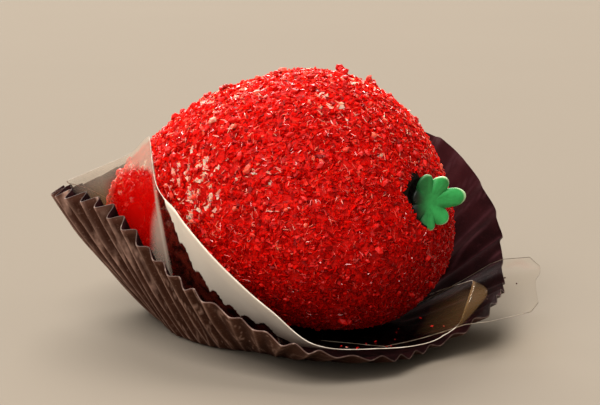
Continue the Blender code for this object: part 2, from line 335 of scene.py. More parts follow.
def brown_paper(name, face, shade, crease, roughness, gloss):
    """Greaseproof paper: painted shade in its valleys and low down, pale with scuffing and painted
    highlight.
    """
    paper = Finish(name, Roughness=roughness, Specular_IOR_Level=gloss)
    fibres = paper.speckle(0.3 * MM, detail=4)
    mottle = paper.speckle(2.5 * MM)
    ground = paper.blend(0.25 * mottle.between(0.3, 0.7) + 0.75 * paper.marked("dark"), face, shade)
    wear_and_highlight = paper.marked("rubbed") * (0.5 + 0.6 * paper.speckle(1.1 * MM).between(0.3, 0.6))
    worn_and_highlit = paper.blend(wear_and_highlight, ground, crease)
    flecked = paper.blend(fibres.between(0.54, 0.74) * 0.22, worn_and_highlit, crease)
    paper.feed(paper.shader.inputs["Base Color"], flecked)
    paper.relief(fibres, 0.04 * MM)
    return paper.material


case_rings = steps_between(0, 1, 5) + steps_between(1.04, 2, 22)
blank = spun_blank(case_rings, PLEATS * POINTS_TO_A_PLEAT)
rubbed_and_highlit_mark = blank.verts.layers.float.new("rubbed")
painted_shade_mark = blank.verts.layers.float.new("dark")
for vert in blank.verts:
    share = vert.co.length
    pressed_at = math.atan2(vert.co.y, vert.co.x)
    degrees = degrees_of(pressed_at)
    in_front = hump(degrees, *SHADE_IN_FRONT) ** 0.5
    at_left = 0.9 * hump(degrees, *SHADE_AT_LEFT) ** 0.5
    at_right = hump((degrees + 180) % 360 - 180, *SHADE_AT_RIGHT) ** 0.5
    right_side = 0.5 + 0.5 * math.cos(pressed_at - math.radians(10))
    valley = clamp(0.35 - fold_wave(pressed_at)) * (1 - right_side)
    painted_shade_low_down = right_side * clamp(2.9 - 1.45 * share)
    # The pale ridges are partly painted highlight, so they are dimmed in front, where the case is
    # in shade.
    vert[rubbed_and_highlit_mark] = rubbed(pressed_at, share) * (1 - 0.85 * in_front)
    # The "dark" mark is painted shade: in the pleats' valleys, low down inside on the right, and in
    # front, at the left and at the right of the case.
    vert[painted_shade_mark] = max(valley, painted_shade_low_down, in_front, at_right, at_left)
    vert.co = case_point(pressed_at, share)
bmesh.ops.reverse_faces(blank, faces=blank.faces[:])
case = piece_of("pleated_case", blank, ["paper_case"])
thicken(case, PAPER_THICKNESS, inner_slot=1, edge_slot=2)
for name, face, shade, crease, roughness, gloss in (
    ("outside", (0.085, 0.031, 0.017), (0.028, 0.008, 0.004), (0.36, 0.215, 0.165), 0.7, 0.08),
    ("inside", (0.034, 0.0065, 0.008), (0.003, 0.001, 0.001), (0.042, 0.012, 0.015), 0.9, 0.03),
    ("edge", (0.17, 0.10, 0.08), (0.02, 0.008, 0.006), (0.34, 0.24, 0.2), 0.7, 0.2),
):
    paper = brown_paper("brown_paper_" + name, face, shade, crease, roughness, gloss)
    case.data.materials.append(paper)


# --- Clear liners --------------------------------------------------------------------------------
# Two cuts of thin clear film lie between the sweet and the paper, with their corners rounded by
# the cutter. The strip sticks out over the case's low right side. The square's front left corner
# stands up beside the sweet's tip, and its front right corner has curled.

FILM_THICKNESS = 0.07 * MM
STRIP_FLOOR = 0.745 * MM
SHEET_FLOOR = 1.315 * MM
SHEET_BEND = 1.5
# Degrees, foot radius, rim radius and rim height, in millimetres.
SHEET_RING = (
    (0, 10.5, 15.4, 1.6),
    (24, 9.5, 13.2, 1.3),
    (60, 9.0, 11.4, 1.1),
    (100, 9.2, 11.8, 1.3),
    (130, 10.0, 14.4, 3.6),
    (155, 11.2, 19.5, 10.4),
    (178, 8.2, 20.1, 13.0),
    (190, 8.6, 18.6, 14.4),
    (203, 9.7, 16.9, 16.1),
    (212, 10.0, 15.4, 17.5),
    (219.2, 10.2, 14.55, 19.2),
    (220.6, 10.2, 14.65, 17.9),
    (225, 10.2, 14.95, 14.8),
    (236, 10.0, 15.4, 12.6),
    (256, 10.4, 17.6, 8.4),
    (271, 12.0, 20.4, 4.9),
    (281, 14.0, 22.2, 2.1),
    (296, 15.5, 23.2, 1.45),
    (308, 15.2, 24.4, 1.65),
    (316, 14.5, 24.1, 2.6),
    (323, 14.3, 22.8, 4.1),
    (330, 14.0, 21.5, 4.8),
    (338, 13.0, 20.5, 4.9),
    (348, 12.0, 18.6, 3.6),
)
# Between these degrees the front right corner has curled, out and up and back in.
CURL_FROM, CURL_TO = 312, 352
CURL_OUT = 3.7 * MM
CURL_UP = 0.7 * MM
# Degrees and width in millimetres of the pale band along the bent front left edge, a painted
# reflection.
LIP = ((228, 0), (230, 1.6), (234, 2.9), (240, 4.2), (248, 5.0), (257, 5.3), (264, 5.0),
       (269, 4.2), (275, 5.0), (279, 4.6), (283, 2.4), (287, 0))
# Degrees between which the square is painted pale as sheen and highlights: at its near corner a
# sheen along its rim, fine streaks and a patch, at its far end a patch, and at the curled corner a
# sheen and a line along its cut.
NEAR_SHEEN = (208, 226)
NEAR_STREAKS = (215.5, 222.5)
NEAR_SHEEN_PATCH = (209, 226)
FAR_SHEEN_PATCH = (178, 208)
CURLED_SHEEN = (314, 352)
CURLED_CUT = (316, 356)
# How far below the rim the streaks and the near sheen patch lie, in millimetres.
NEAR_STREAKS_DEEP = (0, 13)
NEAR_SHEEN_PATCH_DEEP = (3.6, 11)
# Degrees, and how far below the rim, where the film lies by the sugar and where it is amber.
BY_SUGAR = (196, 221)
BY_SUGAR_DEEP = (0.7, 8)
AMBER_AT_LEFT = (176, 209)
AMBER_AT_LEFT_DEEP = (0.8, 5.5)
AMBER_AT_RIGHT = (300, 360)
# Degrees between which the film is painted dark beside its lip, as the shade over the paper's
# pleats.
SHADE_ON_FOLDS = (221.5, 275)
# Degrees and width in millimetres of the painted sheen along the rim of the corner that stands up.
SHEEN_WIDTH = ((184, 0), (190, 0.8), (207, 1), (213, 1.5), (219, 3), (223, 1.5), (227, 0))
# Degrees and reach in millimetres below the rim of the painted sheen patch to the left of that
# corner.
FAR_SHEEN_PATCH_REACH = ((180, 5), (196, 4.5), (208, 1.8))
FILM_RIPPLE = 0.08 * MM
FILM_RIPPLE_SIZE = 2.5 * MM
STRIP_START = 6.0 * MM
STRIP_END = 28.0 * MM
STRIP_WIDTH = 18.6 * MM
STRIP_TURN = math.radians(-6)
STRIP_ASIDE = -4.55 * MM
STRIP_CORNER = 0.9 * MM
STRIP_CORNER_FROM = 0.8
STRIP_TAIL = 0.5


def read_off(table, degrees):
    """The value at an angle, on straight lines between a table's pairs of degrees and value."""
    return np.interp(degrees, *zip(*table))


def sheet_point(angle, share):
    """A point of the square liner, with share as on the paper."""
    foot, rim, height = around(SHEET_RING, angle)
    climb = max(0, share - 1)
    curl = hump(degrees_of(angle), CURL_FROM, CURL_TO) ** 0.7
    radius = foot * min(share, 1) + (rim - foot) * climb
    radius += curl * CURL_OUT * hump(climb, 0.55, 1.03)
    rise = height * climb**SHEET_BEND + curl * CURL_UP * hump(climb, 0.3, 1)
    ripple = FILM_RIPPLE * climb * noise.noise(polar(angle, radius, 0) / FILM_RIPPLE_SIZE)
    return polar(angle, radius + ripple, SHEET_FLOOR + rise)


def sheet_inset(angle, share):
    """How far below the rim a point of the square lies, in millimetres."""
    foot, rim, height = around(SHEET_RING, angle)
    return (2 - share) * math.hypot(rim - foot, height) / MM


def lip_depth(angle, share):
    """How far inside the pale lip, a painted reflection, a point lies, in millimetres. The lip ends
    in scallops, like the mirrored rim of the paper.
    """
    pressed_at = angle + PLEAT_CROWDING / PLEATS * math.sin(angle - CROWDED_AT)
    scallop = 0.9 * abs(math.sin(PLEATS / 2 * pressed_at))
    width = read_off(LIP, degrees_of(angle))
    return width - scallop - sheet_inset(angle, share) if width > 0.3 else -1


def sheet_glare(angle, share):
    """Where the bent film is painted pale, as sheen and highlights on it, from 0 to 1."""
    degrees = degrees_of(angle)
    inset = sheet_inset(angle, share)
    sheen = 0.26 + 0.2 * hump(degrees, *NEAR_SHEEN)
    sheen *= clamp((read_off(SHEEN_WIDTH, degrees) - inset) / 0.5)
    # Fine streaks of painted highlight along the near corner's bend.
    streak = hump(degrees, *NEAR_STREAKS) * hump(inset, *NEAR_STREAKS_DEEP) ** 0.5
    streak *= 0.3 + 0.9 * max(0, noise.noise(Vector((degrees * 1.7, inset * 0.12, 3))))
    near_sheen_patch = 0.45 * hump(degrees, *NEAR_SHEEN_PATCH) ** 0.7 * hump(inset, *NEAR_SHEEN_PATCH_DEEP) ** 0.7
    far_reach = read_off(FAR_SHEEN_PATCH_REACH, degrees)
    far_sheen_patch = 0.34 * hump(degrees, *FAR_SHEEN_PATCH) ** 0.7 * hump(inset, 0, far_reach) ** 0.5
    curled = 0.045 * hump(degrees, *CURLED_SHEEN) ** 0.5 * rising(share, 1.5, 0.2)
    at_rim = share > 1.99
    # A painted highlight along the curled corner's cut.
    cut_line = 0.25 * hump(degrees, *CURLED_CUT) ** 0.3 * at_rim
    return max(sheen, streak, near_sheen_patch, far_sheen_patch, curled, cut_line)


def sheet_touch(angle, share):
    """Where the film lies by the sugar, so that its red shows smooth, from 0 to 1."""
    inset = sheet_inset(angle, share)
    return hump(degrees_of(angle), *BY_SUGAR) ** 0.5 * hump(inset, *BY_SUGAR_DEEP) ** 0.6


def sheet_shade(angle, share):
    """Where the film in front on the left is painted dark as the shade over the paper's pleats,
    from 0 to 1.
    """
    beside_lip = clamp(0.7 - lip_depth(angle, share) / 0.3)
    return hump(degrees_of(angle), *SHADE_ON_FOLDS) ** 0.3 * beside_lip


def sheet_amber(angle, share):
    """Where the film looks amber, at its left end and where it has curled, from 0 to 1."""
    degrees = degrees_of(angle)
    at_left = hump(degrees, *AMBER_AT_LEFT) ** 0.7
    at_left *= hump(sheet_inset(angle, share), *AMBER_AT_LEFT_DEEP)
    at_right = hump(degrees, *AMBER_AT_RIGHT) ** 0.3
    return max(at_left, at_right)


AMBER = (0.45, 0.24, 0.08)
SUGAR_RED = (0.66, 0.002, 0.001)
# Dark red-brown tones of the painted shade on the film beside its lip.
DEEP_FOLD_SHADE = (0.012, 0.003, 0.002)
LIT_FOLD_SHADE = (0.12, 0.014, 0.008)


def clear_film(name, sheen, lip, straight_on, reflection, roughness):
    """Clear film: it shows what is behind it, mirrors at a flat angle, is painted pale where marked
    as sheen, and painted dark where marked as shade.
    """
    film = Finish(name, Roughness=0.4, Specular_IOR_Level=0.05)
    mottled_sheen = film.blend(film.speckle(1.5 * MM), tuple(0.86 * part for part in sheen), sheen)
    on_lip = film.marked("lip").between(0, 0.1)
    pale_sheen = film.blend(on_lip, mottled_sheen, lip)
    amber = film.blend(film.marked("amber"), pale_sheen, AMBER)
    reddened = film.blend(film.marked("red").between(0.05, 0.4), amber, SUGAR_RED)
    fold_shade = film.blend(film.speckle(1.2 * MM).between(0.35, 0.65), DEEP_FOLD_SHADE, LIT_FOLD_SHADE)
    shaded = film.blend(film.marked("shaded").between(0.05, 0.4), reddened, fold_shade)
    film.feed(film.shader.inputs["Base Color"], shaded)
    flatness = film.node("ShaderNodeLayerWeight", inputs={"Blend": 0.5}, output=1)
    mirror = straight_on + flatness**4 * reflection
    clear = film.node("ShaderNodeBsdfTransparent", inputs={"Color": (0.97, 0.96, 0.945, 1)})
    shine = film.node("ShaderNodeBsdfAnisotropic", inputs={"Roughness": roughness})
    sheet = film.node("ShaderNodeMixShader", inputs={0: mirror, 1: clear, 2: shine})
    pale = Wire(film, film.shader.outputs[0])
    glare = film.marked("glare")
    share = glare.math("MAXIMUM", glare, 0.9 * on_lip)
    whole = film.node("ShaderNodeMixShader", inputs={0: share, 1: sheet, 2: pale})
    film.feed(film.output.inputs["Surface"], whole)
    return film.material


def cut_edge(name, pale, dull):
    """The film's edge, painted pale in patches as the highlight along its cut."""
    edge = Finish(name, Roughness=0.25)
    highlight_patches = edge.speckle(1.2 * MM).between(0.35, 0.65)
    edge.feed(edge.shader.inputs["Base Color"], edge.blend(highlight_patches, dull, pale))
    return edge.material


# The film's painted sheen, the painted reflection on its lip, and the strip's painted sheen.
SHEEN, LIP_REFLECTION, STRIP_SHEEN = (0.68, 0.56, 0.45), (0.92, 0.81, 0.67), (0.3, 0.12, 0.08)
SHEET_FILM = clear_film(
    "clear_film", sheen=SHEEN, lip=LIP_REFLECTION, straight_on=0.01, reflection=0.03, roughness=0.12
)
STRIP_FILM = clear_film(
    "clear_film_strip", sheen=STRIP_SHEEN, lip=STRIP_SHEEN, straight_on=0.001, reflection=0.0, roughness=0.2
)
SHEET_EDGE = cut_edge("film_cut_edge", pale=(0.85, 0.76, 0.65), dull=(0.5, 0.42, 0.34))
STRIP_EDGE = cut_edge("strip_cut_edge", pale=(0.3, 0.25, 0.19), dull=(0.13, 0.1, 0.07))

sheet_rings = steps_between(0, 1, 5) + steps_between(1.03, 2, 44)
blank = spun_blank(sheet_rings, 360)
marks = ("glare", "red", "lip", "amber", "shaded")
layers = [blank.verts.layers.float.new(name) for name in marks]
for vert in blank.verts:
    share = vert.co.length
    angle = math.atan2(vert.co.y, vert.co.x)
    touch = sheet_touch(angle, share)
    glare = sheet_glare(angle, share)
    shade = sheet_shade(angle, share)
    whole_glare = max(glare, 0.62 * touch, 0.8 * shade)
    red = touch * max(0, 1 - glare / 0.5)
    lip = lip_depth(angle, share)
    for layer, value in zip(layers, (whole_glare, red, lip, sheet_amber(angle, share), shade)):
        vert[layer] = value
    vert.co = sheet_point(angle, share)
sheet = piece_of("film_sheet", blank, ["liner_sheet"])
thicken(sheet, FILM_THICKNESS, edge_slot=1)
for material in (SHEET_FILM, SHEET_EDGE):
    sheet.data.materials.append(material)


def strip_point(along, across):
    """A point of the strip, with along from 0 to 1 and across from -1 to 1."""
    corner = STRIP_CORNER * max(0, abs(across) - STRIP_CORNER_FROM) / (1 - STRIP_CORNER_FROM)
    x = STRIP_START + (STRIP_END - corner - STRIP_START) * along
    half = STRIP_WIDTH / 2 * (STRIP_TAIL + (1 - STRIP_TAIL) * min(1, 1.25 * along))
    flat = Matrix.Rotation(STRIP_TURN, 3, "Z") @ Vector((x, STRIP_ASIDE + across * half, 0))
    angle = math.atan2(flat.y, flat.x)
    radius, rise, slope = case_wall(angle, flat.length)
    inward = around(CASE_RING, angle)[3] * min(1, slope * 3) * 1.15
    point = polar(angle, radius - inward * math.sin(slope), rise + inward * math.cos(slope))
    return point + Vector((0, 0, STRIP_FLOOR))


blank = bmesh.new()
bmesh.ops.create_grid(blank, x_segments=60, y_segments=48, size=1)
glare_mark = blank.verts.layers.float.new("glare")
for vert in blank.verts:
    along, across = (vert.co.x + 1) / 2, vert.co.y
    vert.co = strip_point(along, across)
    # Near its back edge the strip is painted pale in specks, as sheen.
    sheen_speckle = noise.noise(vert.co / (1.5 * MM))
    near_back = hump(across, 0.6, 1.2) * hump(along, 0.72, 1.1)
    vert[glare_mark] = 0.16 * max(0, sheen_speckle) * near_back
strip = piece_of("film_strip", blank, ["liner_strip"])
thicken(strip, FILM_THICKNESS, edge_slot=1)
for material in (STRIP_FILM, STRIP_EDGE):
    strip.data.materials.append(material)


# --- Fudge ---------------------------------------------------------------------------------------
# Condensed-milk fudge, coloured red and rolled by hand to a strawberry's shape. It has slumped a
# little where it lies. A hollow is pressed into its blunt end for the calyx, its walls painted
# near-black as shade.

SUGAR_DEPTH = 0.22 * MM
SWEET_FLOOR = 1.6 * MM
SWEET_LENGTH = 35.6 * MM
SWEET_GIRTH = 24.6 * MM
SWEET_TAPER = 0.36
SWEET_CENTRE = Vector((0.2 * MM, -0.8 * MM, 13.0 * MM))
SWEET_TURN = math.radians(-28.5)
END_DROOP = 2.0 * MM
SLUMP_HEIGHT = 1.2 * MM
BELLY = 0.04
BELLY_LEVEL = 7 * MM
UNEVEN_DEPTH = 0.35 * MM
UNEVEN_SIZE = 9 * MM
SWEET_PLACE = Matrix.Translation(SWEET_CENTRE) @ Matrix.Rotation(SWEET_TURN, 4, "Z")
CALYX_CENTRE = Vector((15.6 * MM, -10.9 * MM, 14.3 * MM))
CALYX_FACING = Vector((0.55, -0.83, 0.06)).normalized()
CALYX_RIGHT = Vector((0, 0, 1)).cross(CALYX_FACING).normalized()
CALYX_TOP = CALYX_FACING.cross(CALYX_RIGHT)
CALYX_TURN = Matrix((CALYX_RIGHT, CALYX_TOP, CALYX_FACING)).transposed().to_4x4()
CALYX_PLACE = Matrix.Translation(CALYX_CENTRE) @ CALYX_TURN
HOLLOW_DEPTH = 1.7 * MM
PUNCH_REACH = 12 * MM
# Degrees and reach in millimetres: the hollow is drawn to a point towards the sweet's middle.
HOLLOW_OUTLINE = ((0, 1.8), (60, 2.3), (119, 2.95), (150, 3.2), (159, 3.35), (172, 2.8), (185, 2.4),
                  (231, 2.25), (270, 2.4), (300, 2.0), (360, 1.8))


def fudge_point(direction, inset=SUGAR_DEPTH):
    """The point of the fudge that lies in a direction, a unit vector of the sweet's own frame."""
    along = direction.x
    girth = SWEET_GIRTH / 2 * (1 + SWEET_TAPER * along)
    drop = END_DROOP * along**2
    own = Vector((along * SWEET_LENGTH / 2, direction.y * girth, direction.z * girth - drop))
    point = SWEET_PLACE @ own
    outward = (point - SWEET_CENTRE).normalized()
    point += outward * (UNEVEN_DEPTH * noise.noise(point / UNEVEN_SIZE) - inset)
    lift = point.z - SWEET_FLOOR
    point.z = SWEET_FLOOR + (lift + math.hypot(lift, SLUMP_HEIGHT)) / 2
    spread = 1 + BELLY * math.exp(-(((lift - BELLY_LEVEL) / BELLY_LEVEL) ** 2))
    point.x = SWEET_CENTRE.x + (point.x - SWEET_CENTRE.x) * spread
    point.y = SWEET_CENTRE.y + (point.y - SWEET_CENTRE.y) * spread
    return point


def hollow_reach(angle):
    """How far the hollow reaches from its middle at an angle."""
    return read_off(HOLLOW_OUTLINE, degrees_of(angle)) * MM


def applied(piece):
    """Makes what the piece's modifiers give its own mesh."""
    graph = bpy.context.evaluated_depsgraph_get()
    result = bpy.data.meshes.new_from_object(piece.evaluated_get(graph))
    piece.modifiers.clear()
    piece.data = result


ball = bmesh.new()
bmesh.ops.create_uvsphere(ball, u_segments=96, v_segments=64, radius=1)
lay_down = Matrix.Rotation(math.pi / 2, 3, "Y")
for vert in ball.verts:
    vert.co = fudge_point((lay_down @ vert.co).normalized())
fudge = piece_of("fudge", ball, ["sweet"], sharp=30)

punch = bmesh.new()
bmesh.ops.create_cone(
    punch, cap_ends=True, segments=48, radius1=0.9, radius2=1, depth=PUNCH_REACH + HOLLOW_DEPTH
)
for vert in punch.verts:
    angle = math.atan2(vert.co.y, vert.co.x)
    reach = hollow_reach(angle) * vert.co.xy.length
    vert.co = polar(angle, reach, vert.co.z + (PUNCH_REACH - HOLLOW_DEPTH) / 2)
punch.transform(CALYX_PLACE)
punch_data = bpy.data.meshes.new("hollow_punch")
punch.to_mesh(punch_data)
punch.free()
punch_piece = bpy.data.objects.new("hollow_punch", punch_data)
bpy.context.scene.collection.objects.link(punch_piece)
cut = fudge.modifiers.new("hollow", "BOOLEAN")
cut.operation = "DIFFERENCE"
cut.object = punch_piece
cut.solver = "EXACT"
applied(fudge)
bpy.data.objects.remove(punch_piece)

fudge.data.materials.clear()
for name, dark, light in (
    ("red_fudge", (0.36, 0.001, 0.0), (0.62, 0.004, 0.001)),
    ("hollow_fudge", (0.004, 0.0005, 0.0005), (0.008, 0.001, 0.001)),
):
    red_fudge = Finish(name, Roughness=0.6, Specular_IOR_Level=0.1)
    fudge_grain = red_fudge.speckle(0.35 * MM, detail=3)
    fudge_red = red_fudge.blend(fudge_grain.between(0.3, 0.7), dark, light)
    red_fudge.feed(red_fudge.shader.inputs["Base Color"], fudge_red)
    red_fudge.relief(fudge_grain, 0.25 * MM)
    fudge.data.materials.append(red_fudge.material)
# Faces inside the hollow take the near-black of painted shade.
a_little_more = 1.01
for face in fudge.data.polygons:
    local = CALYX_PLACE.inverted() @ face.center
    reach = hollow_reach(math.atan2(local.y, local.x)) * a_little_more
    above_bottom = local.z > -HOLLOW_DEPTH * a_little_more
    face.material_index = int(above_bottom and local.xy.length < reach)


# --- Red sugar -----------------------------------------------------------------------------------
# The fudge is rolled in coarse red crystal sugar while it is still tacky. Blocky grains cover it
# all over, longer splinters lie among them at every angle, and a few clumps of lumps stand proud.

GRAINS = 24000
SPLINTERS = 6500
LUMPS = 850
LUMPS_IN_A_CLUMP = 9
CONTACT_LEVEL = 2.1 * MM
# Smallest and largest, in millimetres, or where the name says so in shares of the width.
GRAIN_WIDTH = (0.24, 0.42)
GRAIN_LENGTH_TO_WIDTH = (1.0, 1.8)
GRAIN_HEIGHT_TO_WIDTH = (0.6, 0.9)
SPLINTER_LENGTH = (0.25, 0.65)
SPLINTER_WIDTH = (0.07, 0.13)
LUMP_WIDTH = (0.26, 0.71)
LUMP_LENGTH_TO_WIDTH = (1, 1.5)
LUMP_HEIGHT_TO_WIDTH = 0.85
# How far the small and the large crystals keep from the hollow.
SMALL_GAP = 0.15 * MM
LARGE_GAP = 1.3 * MM
# Degrees round the sweet, degrees up and size in millimetres of the clumps that stand proud of it.
PROUD_CLUMPS = ((33, 67, 1.3), (34, 55, 1.05), (216, 74, 0.9), (207, 67, 0.7), (31, 47, 0.6),
                (31, 80, 0.6), (177, 79, 0.6), (29, 35, 0.7), (99, 86, 0.5), (202, 57, 0.65))
sugar_chance = random.Random(21)


def sugar_spots(count, gap):
    """Points spread evenly over the fudge outside the hollow, each with its outward direction."""
    step = 0.02
    spots = []
    while len(spots) < count:
        direction = Vector([sugar_chance.gauss(0, 1) for _ in range(3)]).normalized()
        point = fudge_point(direction)
        side = direction.orthogonal().normalized()
        other = direction.cross(side)
        to_side = fudge_point((direction + side * step).normalized()) - point
        to_other = fudge_point((direction + other * step).normalized()) - point
        outward = to_side.cross(to_other)
        stretch = outward.length / (step * 16 * MM) ** 2
        local = CALYX_PLACE.inverted() @ point
        inside = local.xy.length < hollow_reach(math.atan2(local.y, local.x)) + gap
        in_hollow = inside and local.z > -HOLLOW_DEPTH
        if sugar_chance.random() < stretch and not in_hollow and point.z > CONTACT_LEVEL:
            spots.append((point, outward.normalized()))
    return spots


def crystal_place(point, outward, size, sunk, lean, chance):
    """Lays a unit crystal on the fudge: turned at random, leaning and a little sunk."""
    aim = outward.to_track_quat("Z", "Y").to_matrix()
    spin = Matrix.Rotation(chance.uniform(0, math.tau), 3, "Z")
    tip = Matrix.Rotation(chance.gauss(0, lean), 3, "Y")
    roll = Matrix.Rotation(chance.uniform(0, math.tau), 3, "X")
    turn = aim @ spin @ tip @ roll @ Matrix.Diagonal(size)
    return turn, point + outward * (size[2] / 2 - sunk)


def many_of(name, shape, places, tones):
    """One piece of many copies of a small shape, each with its own tone."""
    corners = np.array([vert.co[:] for vert in shape.verts])
    faces = np.array([[vert.index for vert in face.verts] for face in shape.faces])
    shape.free()
    turns = np.array([[row[:] for row in turn] for turn, _ in places])
    middles = np.array([middle[:] for _, middle in places])
    points = np.einsum("nij,kj->nki", turns, corners) + middles[:, None, :]
    offsets = np.arange(len(places))[:, None, None] * len(corners)
    data = bpy.data.meshes.new(name)
    data.from_pydata(points.reshape(-1, 3), [], (faces[None] + offsets).reshape(-1, faces.shape[1]))
    tone = data.attributes.new("tone", "FLOAT", "POINT")
    tone.data.foreach_set("value", np.repeat(np.array(tones, dtype=np.float32), len(corners)))
    piece = bpy.data.objects.new(name, data)
    bpy.context.scene.collection.objects.link(piece)
    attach(piece, "root")
    return piece


def sugar_finish(name, stops, roughness, gloss):
    """Coloured crystal sugar: glassy red that light soaks into, paler where it is frosted."""
    sugar = Finish(name, Roughness=roughness, Specular_IOR_Level=gloss)
    for key, value in (("Weight", 0.7), ("Radius", (1, 0.1, 0.05)), ("Scale", 0.5 * MM)):
        sugar.feed(sugar.shader.inputs["Subsurface " + key], value)
    colour = sugar.node("ShaderNodeValToRGB", {"stops": stops}, {"Fac": sugar.marked("tone")})
    sugar.feed(sugar.shader.inputs["Base Color"], colour)
    return sugar.material


def crystal(taper, slant):
    """A unit crystal: a three-sided bar along X that narrows and has slanting ends."""
    bar = bmesh.new()
    bmesh.ops.create_cone(
        bar, cap_ends=True, segments=3, radius1=0.62, radius2=0.62 * (1 - taper), depth=1
    )
    bmesh.ops.triangulate(bar, faces=bar.faces[:])
    bar.transform(Matrix.Rotation(math.pi / 2, 4, "Y"))
    for vert in bar.verts:
        vert.co.x += slant * vert.co.z
    return bar


def tone_at(point):
    """How frosted a crystal is, from 0 to 1: in small patches, and cut low down and to the right as
    painted shade.
    """
    patch = noise.noise(point / (0.7 * MM)) + 0.6 * noise.noise(point / (6 * MM))
    # Less frost and a lower tone towards the right, and lower still low down: painted shade that
    # darkens the red.
    patch -= point.x / (150 * MM)
    painted_shade_low_down = min(1, max(0.25, (point.z - 0.35 * point.x) / (13 * MM)))
    return min(1, 0.86 * sugar_chance.random() + max(0, patch - 0.37) * 1.9) * painted_shade_low_down


def sprinkled(count, gap, shape_of, sunk, lean):
    """The places and tones of crystals of one kind, laid all over the fudge."""
    places = []
    tones = []
    for point, outward in sugar_spots(count, gap):
        places.append(crystal_place(point, outward, shape_of(), sunk, lean, sugar_chance))
        tones.append(tone_at(point))
    return places, tones


def grain_shape():
    """A blocky grain's length, width and height."""
    width = sugar_chance.uniform(*GRAIN_WIDTH) * MM
    length = width * sugar_chance.uniform(*GRAIN_LENGTH_TO_WIDTH)
    return length, width, width * sugar_chance.uniform(*GRAIN_HEIGHT_TO_WIDTH)


def splinter_shape():
    """A splinter's length, width and height."""
    length = sugar_chance.uniform(*SPLINTER_LENGTH) * MM
    width = sugar_chance.uniform(*SPLINTER_WIDTH) * MM
    return length, width, width


def lump_shape():
    """A lump's length, width and height. Most are small, and a few nearly three times as wide."""
    smallest, largest = LUMP_WIDTH
    width = (smallest + (largest - smallest) * sugar_chance.random() ** 4) * MM
    length = width * sugar_chance.uniform(*LUMP_LENGTH_TO_WIDTH)
    return length, width, width * LUMP_HEIGHT_TO_WIDTH


GRAIN_STOPS = (
    (0.0, (0.18, 0.0005, 0.0)),
    (0.45, (0.57, 0.002, 0.001)),
    (0.8, (0.78, 0.008, 0.004)),
    (0.94, (0.88, 0.09, 0.055)),
    (1.0, (0.9, 0.4, 0.31)),
)
places, tones = sprinkled(GRAINS, SMALL_GAP, grain_shape, sunk=0.13 * MM, lean=0.28)
grains = many_of("sugar_grains", crystal(taper=0.25, slant=0.25), places, tones)
grains.data.materials.append(sugar_finish("red_sugar", GRAIN_STOPS, roughness=0.35, gloss=0.06))

SPLINTER_STOPS = (
    (0.0, (0.5, 0.002, 0.001)),
    (0.45, (0.78, 0.01, 0.005)),
    (0.65, (0.92, 0.05, 0.035)),
    (0.8, (0.95, 0.18, 0.13)),
    (1.0, (0.97, 0.4, 0.32)),
)
places, tones = sprinkled(SPLINTERS, SMALL_GAP, splinter_shape, sunk=-0.08 * MM, lean=0.25)
splinters = many_of("sugar_splinters", crystal(taper=0.35, slant=0.5), places, tones)
pale_sugar = sugar_finish("pale_sugar", SPLINTER_STOPS, roughness=0.15, gloss=0.5)
splinters.data.materials.append(pale_sugar)

LUMP_STOPS = (
    (0.0, (0.4, 0.002, 0.001)),
    (0.55, (0.7, 0.008, 0.004)),
    (0.75, (0.74, 0.08, 0.045)),
    (0.9, (0.78, 0.2, 0.13)),
    (1.0, (0.82, 0.34, 0.24)),
)
places, tones = sprinkled(LUMPS, LARGE_GAP, lump_shape, sunk=0.02 * MM, lean=0.4)
for degrees, level, size in PROUD_CLUMPS:
    slope = math.radians(level)
    point = fudge_point(polar(math.radians(degrees), math.cos(slope), math.sin(slope)))
    outward = (point - SWEET_CENTRE).normalized()
    for _ in range(LUMPS_IN_A_CLUMP):
        aside = Vector([sugar_chance.gauss(0, 0.3 * size * MM) for _ in range(3)])
        aside -= 0.75 * aside.dot(outward) * outward
        shape = [size * sugar_chance.uniform(0.35, 0.6) * MM] * 3
        middle = point + outward * 0.1 * size * MM + aside
        place = crystal_place(middle, outward, shape, sunk=0, lean=0.6, chance=sugar_chance)
        places.append(place)
        tones.append(sugar_chance.uniform(0.1, 0.85))
lump = bmesh.new()
bmesh.ops.create_icosphere(lump, subdivisions=1, radius=0.55)
for vert in lump.verts:
    vert.co *= 1 + 0.8 * noise.noise(vert.co * 9 + Vector((4, 1, 7)))
lumps = many_of("sugar_lumps", lump, places, tones)
lumps.data.materials.append(sugar_finish("lump_sugar", LUMP_STOPS, roughness=0.4, gloss=0.2))


# --- Calyx ---------------------------------------------------------------------------------------
# The green top of the strawberry: gum paste rolled thin, cut to a star of blunt lobes and pressed
# into the hollow with its right side standing off the sugar. Its cut edge is painted pale on the
# right as a highlight, and its left side is painted dark as the shade of the hollow's wall.

CALYX_THICKNESS = 0.42 * MM
CALYX_CUP = 0.8 * MM
CALYX_HEART = 1.7 * MM
LOBE_WIDTH = 1.6 * MM
GROOVE_DEPTH = 0.42 * MM
ROLLED_EDGE = 0.22 * MM
STREAK_DEPTH = 0.03 * MM
# Degrees and reach in millimetres.
CALYX_LOBES = ((8, 3.8), (51, 3.0), (100, 2.9), (150, 2.1), (207, 2.1), (265, 2.6), (314, 2.7))


def degrees_apart(angle, degrees):
    """How far an angle lies from one in degrees, from 0 to 180."""
    return abs((math.degrees(angle) - degrees + 180) % 360 - 180)


def lobe_reach(angle):
    """How far the calyx reaches at an angle: the farthest of its round-ended lobes."""
    half = LOBE_WIDTH / 2
    reach = CALYX_HEART
    for degrees, length in CALYX_LOBES:
        off = degrees_apart(angle, degrees)
        straight = length * MM - half
        if off >= 90:
            continue
        aside = math.sin(math.radians(off))
        if math.tan(math.radians(off)) > half / straight:
            out = half / aside
        else:
            out = straight * math.cos(math.radians(off))
            out += math.sqrt(half**2 - (straight * aside) ** 2)
        reach = max(reach, out)
    return reach


